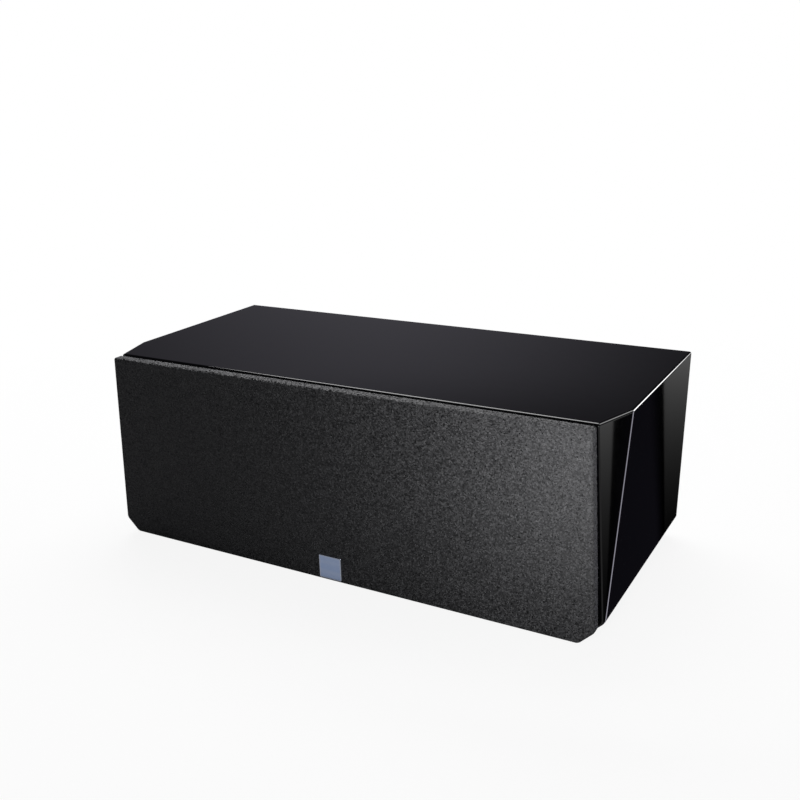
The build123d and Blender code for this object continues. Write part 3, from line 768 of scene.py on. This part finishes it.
def world():
    """White where it is seen, and a soft grey fill for the rest."""
    sky = bpy.data.worlds.new("studio")
    bpy.context.scene.world = sky
    sky.use_nodes = True
    tree = sky.node_tree
    white = tree.nodes["Background"]
    white.inputs["Color"].default_value = (1, 1, 1, 1)
    fill = tree.nodes.new("ShaderNodeBackground")
    fill.inputs["Color"].default_value = (*fill_colour, 1)
    fill.inputs["Strength"].default_value = fill_strength
    mix = tree.nodes.new("ShaderNodeMixShader")
    tree.links.new(seen_rays(tree), mix.inputs["Fac"])
    tree.links.new(fill.outputs["Background"], mix.inputs[1])
    tree.links.new(white.outputs["Background"], mix.inputs[2])
    tree.links.new(mix.outputs["Shader"], tree.nodes["World Output"].inputs["Surface"])


def distance(tree, stretch=(1, 1, 1)):
    """How far a point lies from its piece's origin."""
    length = tree.nodes.new("ShaderNodeVectorMath")
    length.operation = "LENGTH"
    tree.links.new(object_coordinates(tree, stretch), length.inputs[0])
    return length.outputs["Value"]


def smooth_step(tree, value, start, end, low=0.0, high=1.0):
    """A value that goes smoothly from low to high while another goes from start to end."""
    node = tree.nodes.new("ShaderNodeMapRange")
    node.interpolation_type = "SMOOTHSTEP"
    node.inputs["From Min"].default_value = start
    node.inputs["From Max"].default_value = end
    node.inputs["To Min"].default_value = low
    node.inputs["To Max"].default_value = high
    tree.links.new(value, node.inputs["Value"])
    return node.outputs["Result"]


def plane(name, width, depth, z):
    corners = ((-width, -depth), (width, -depth), (width, depth), (-width, depth))
    return mesh_object(name, [Vector((x / 2, y / 2, z)) for x, y in corners], [(0, 1, 2, 3)])


def floor():
    """A pale floor that fades into the white backdrop, keeps the shadow and throws little light back."""
    piece = plane("floor", studio_width, studio_width, 0)
    material, tree, shader = new_material("floor")
    path = tree.nodes.new("ShaderNodeLightPath")
    tone = spread(tree, path.outputs["Is Diffuse Ray"], floor_tone, floor_bounce)
    tree.links.new(tone, shader.inputs["Base Color"])
    shader.inputs["Roughness"].default_value = 1
    shader.inputs["Specular IOR Level"].default_value = 0
    white = emission(tree, (1, 1, 1), 1)
    share = smooth_step(tree, distance(tree), *floor_fade, floor_whiteness, 1)
    shown = math_node(tree, "MULTIPLY", share, seen_rays(tree))
    mix = tree.nodes.new("ShaderNodeMixShader")
    tree.links.new(shown, mix.inputs["Fac"])
    tree.links.new(shader.outputs["BSDF"], mix.inputs[1])
    tree.links.new(white.outputs["Emission"], mix.inputs[2])
    tree.links.new(mix.outputs["Shader"], tree.nodes["Material Output"].inputs["Surface"])
    piece.data.materials.append(material)


def reflection_only(piece):
    """A studio flag: it shows in gloss and nowhere else."""
    piece.visible_camera = False
    piece.visible_diffuse = False
    piece.visible_shadow = False
    piece.visible_transmission = False
    piece.visible_volume_scatter = False


def flag_material(name, colour, strength):
    material, tree, _ = new_material(name)
    glow = emission(tree, colour, strength)
    tree.links.new(glow.outputs["Emission"], tree.nodes["Material Output"].inputs["Surface"])
    return material, tree, glow


def dark_tent():
    """A dim studio round the object, with a soft grey wall at each side of the back and front."""
    mesh = bpy.data.meshes.new("dark_tent")
    body = bmesh.new()
    bmesh.ops.create_icosphere(body, subdivisions=4, radius=tent_radius)
    body.to_mesh(mesh)
    body.free()
    piece = add_object("dark_tent", mesh)
    material, tree, glow = flag_material("dark_tent", tent_colour, tent_strength)
    axes = tree.nodes.new("ShaderNodeSeparateXYZ")
    tree.links.new(object_coordinates(tree, (1 / tent_radius,) * 3), axes.inputs["Vector"])
    across = math_node(tree, "ABSOLUTE", axes.outputs["X"])
    aside = math_node(tree, "ABSOLUTE", math_node(tree, "SUBTRACT", across, wall_across))
    near = smooth_step(tree, aside, 0, wall_half_width, 1, 0)
    low = smooth_step(tree, axes.outputs["Z"], *wall_fade, 1, 0)
    wall = math_node(tree, "MULTIPLY", near, low)
    tree.links.new(spread(tree, wall, tent_strength, wall_strength), glow.inputs["Strength"])
    piece.data.materials.append(material)
    reflection_only(piece)


def floor_flag():
    """The floor as the lacquer shows it: black beside the object and paler further out."""
    piece = plane("floor_flag", studio_width, studio_width, card_layer)
    material, tree, glow = flag_material("floor_flag", (1, 1, 1), floor_flag_gain)
    outward = math_node(tree, "SUBTRACT", distance(tree, floor_flag_stretch), floor_flag_start)
    outward = math_node(tree, "MAXIMUM", outward, 0)
    outward = math_node(tree, "MINIMUM", outward, floor_flag_reach)
    rise = math_node(tree, "POWER", outward, 2)
    tree.links.new(math_node(tree, "MULTIPLY", rise, floor_flag_gain), glow.inputs["Strength"])
    piece.data.materials.append(material)
    reflection_only(piece)


def bearing(tree):
    """The angle of a point round its piece's origin, from straight back towards either side."""
    axes = tree.nodes.new("ShaderNodeSeparateXYZ")
    tree.links.new(object_coordinates(tree), axes.inputs["Vector"])
    across = math_node(tree, "ABSOLUTE", axes.outputs["X"])
    return math_node(tree, "ARCTAN2", across, axes.outputs["Y"])


def floor_wedge(name, apex, bearings, core, layer, colour, strength):
    """A wedge of card on the floor on each side, between two bearings in degrees, even over its core."""
    steps = 8
    first, last = (math.radians(angle) for angle in bearings)
    middle = (first + last) / 2
    half = (last - first) / 2
    material, tree, glow = flag_material(name, colour, strength)
    aside = math_node(tree, "ABSOLUTE", math_node(tree, "SUBTRACT", bearing(tree), middle))
    tree.links.new(smooth_step(tree, aside, half * core, half, strength, 0), glow.inputs["Strength"])
    for side, side_name in ((-1, "left"), (1, "right")):
        points = [Vector((0, 0, 0))]
        for step in range(steps + 1):
            angle = middle + half * (2 * step / steps - 1)
            points.append(Vector((side * math.sin(angle), math.cos(angle), 0)) * wedge_reach)
        piece = mesh_object(f"{name}_{side_name}", points, [tuple(range(len(points)))])
        piece.location = (side * apex[0], apex[1], layer * card_layer)
        piece.data.materials.append(material)
        reflection_only(piece)


def floor_card():
    """The pale floor in front of the grille, which the badge reflects."""
    near = front_y - floor_card_gap
    far = floor_card_far
    half = floor_card_half
    corners = ((-half, far), (half, far), (half, near), (-half, near))
    piece = mesh_object("floor_card", [Vector((x, y, 2 * card_layer)) for x, y in corners], [(0, 1, 2, 3)])
    material, _, _ = flag_material("floor_card", (1, 1, 1), floor_card_strength)
    piece.data.materials.append(material)
    reflection_only(piece)


def toward(place, target):
    return (target - place).to_track_quat("-Z", "Y").to_euler()


def soft_card(name, place, target, width, strength):
    """A square card in the air that is bright in its middle and dark at its border."""
    piece = plane(name, 1, 1, 0)
    piece.location = place
    piece.rotation_euler = toward(place, target)
    piece.scale = (width, width, 1)
    material, tree, glow = flag_material(name, (1, 1, 1), strength)
    tree.links.new(smooth_step(tree, distance(tree), 0.1, 0.5, strength, 0), glow.inputs["Strength"])
    piece.data.materials.append(material)
    reflection_only(piece)


def flags():
    """Cards for the lacquer: for its cut corners and sides, the badge, and the edges of the top."""
    dark_tent()
    floor_flag()
    floor_wedge(
        "side_flag", apex=(0.18, -0.15), bearings=(14.8, 52.0), core=0.9, layer=2,
        colour=(0.8, 0.75, 1.1), strength=0.014,
    )
    floor_wedge(
        "edge_card", apex=(0.24, -0.1), bearings=(18, 47), core=0.4, layer=3,
        colour=(0.95, 0.92, 1.08), strength=2,
    )
    floor_card()
    corner_edge = Vector((half_width, -0.09, top_z))
    side_edge = Vector((half_width, 0, top_z))
    soft_card("high_card", place=Vector((0.83, 0.73, 0.83)), target=corner_edge, width=0.6, strength=5)
    soft_card("rear_card", place=Vector((0.575, 0.73, 0.235)), target=side_edge, width=0.34, strength=11)


def softbox(name, place, target, size, power, spread_degrees=180):
    lamp = bpy.data.lights.new(name, "AREA")
    lamp.shape = "RECTANGLE"
    lamp.size, lamp.size_y = size
    lamp.energy = power
    lamp.spread = math.radians(spread_degrees)
    lamp_object = bpy.data.objects.new(name, lamp)
    lamp_object.location = place
    lamp_object.rotation_euler = toward(place, target)
    lamp_object.visible_camera = False
    bpy.context.scene.collection.objects.link(lamp_object)


def lights():
    """A small lamp close to the grille's right end, and a large one above and behind."""
    grille_end = Vector((0.228, grille_low.y, 0.213))
    softbox(
        "key", place=Vector((0.274, -0.314, 0.151)), target=grille_end, size=(0.05, 0.05), power=0.46,
        spread_degrees=152,
    )
    softbox(
        "overhead", place=Vector((-0.3, 0.55, 1.25)), target=Vector((0, 0, top_z)), size=(1.2, 1.0), power=24,
    )


def camera():
    """The photograph's view."""
    view = bpy.data.cameras.new("camera")
    view.lens = camera_lens
    view.sensor_width = camera_sensor
    view.shift_x, view.shift_y = camera_shift
    view.clip_start = 0.01
    view.clip_end = 50
    azimuth, elevation = camera_azimuth, camera_elevation
    back = Vector((math.sin(azimuth), -math.cos(azimuth), 0)) * math.cos(elevation)
    back.z = math.sin(elevation)
    level = Vector((math.cos(azimuth), math.sin(azimuth), 0))
    rise = back.cross(level)
    right = level * math.cos(camera_roll) - rise * math.sin(camera_roll)
    up = rise * math.cos(camera_roll) + level * math.sin(camera_roll)
    turn = Matrix((right, up, back)).transposed()
    camera_object = bpy.data.objects.new("camera", view)
    camera_object.matrix_world = Matrix.Translation(camera_eye) @ turn.to_4x4()
    bpy.context.scene.collection.objects.link(camera_object)
    bpy.context.scene.camera = camera_object


materials = make_materials()
dress_solids()
cabinet()
grille_cloth()
badge()
driver_skins()
world()
floor()
flags()
lights()
camera()
bpy.context.scene.view_settings.view_transform = "Standard"
